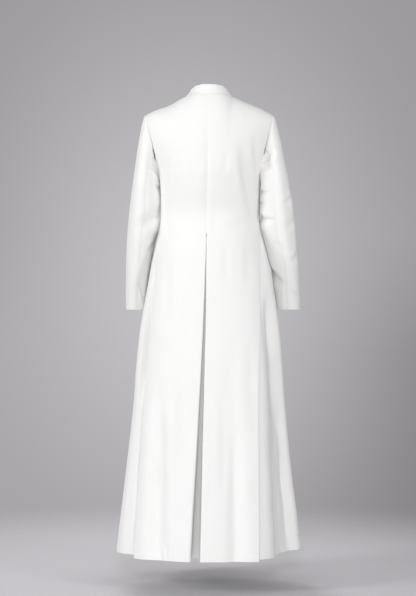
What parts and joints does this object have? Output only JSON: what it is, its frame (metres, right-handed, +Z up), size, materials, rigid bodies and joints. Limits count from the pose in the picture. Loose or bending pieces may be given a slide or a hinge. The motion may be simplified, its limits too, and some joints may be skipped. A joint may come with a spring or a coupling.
{
  "type": "cassock",
  "caption": "Full-length white cassock in its worn form: standing collar, button front, tailored sleeves, side pleats and an inverted pleat down the back of the skirt.",
  "frame": {"origin": "inside the neck opening at the height of the neck seam, where the shoulders carry the garment", "axes": "+Z up; the front of the garment faces -Y, its back faces +Y, and the wearer's left is +X"},
  "size_m": [0.6085, 0.4946, 1.5358],
  "materials": {
    "cloth": "matt white wool blend, fine twill, faint sheen",
    "button": "button covered in the garment's own cloth"
  },
  "bodies": {
    "root": {"back_left": "cloth", "back_right": "cloth", "back_pleat_underlay": "cloth", "front_left": "cloth", "front_right": "cloth", "collar": "cloth", "sleeve_upper_left": "cloth", "sleeve_under_left": "cloth", "sleeve_upper_right": "cloth", "sleeve_under_right": "cloth", "button_01": "button", "button_02": "button", "button_03": "button", "button_04": "button", "button_05": "button", "button_06": "button", "button_07": "button", "button_08": "button", "button_09": "button", "button_10": "button", "button_11": "button", "button_12": "button", "button_13": "button", "button_14": "button", "button_15": "button", "button_16": "button", "button_17": "button"}
  },
  "joints": []
}
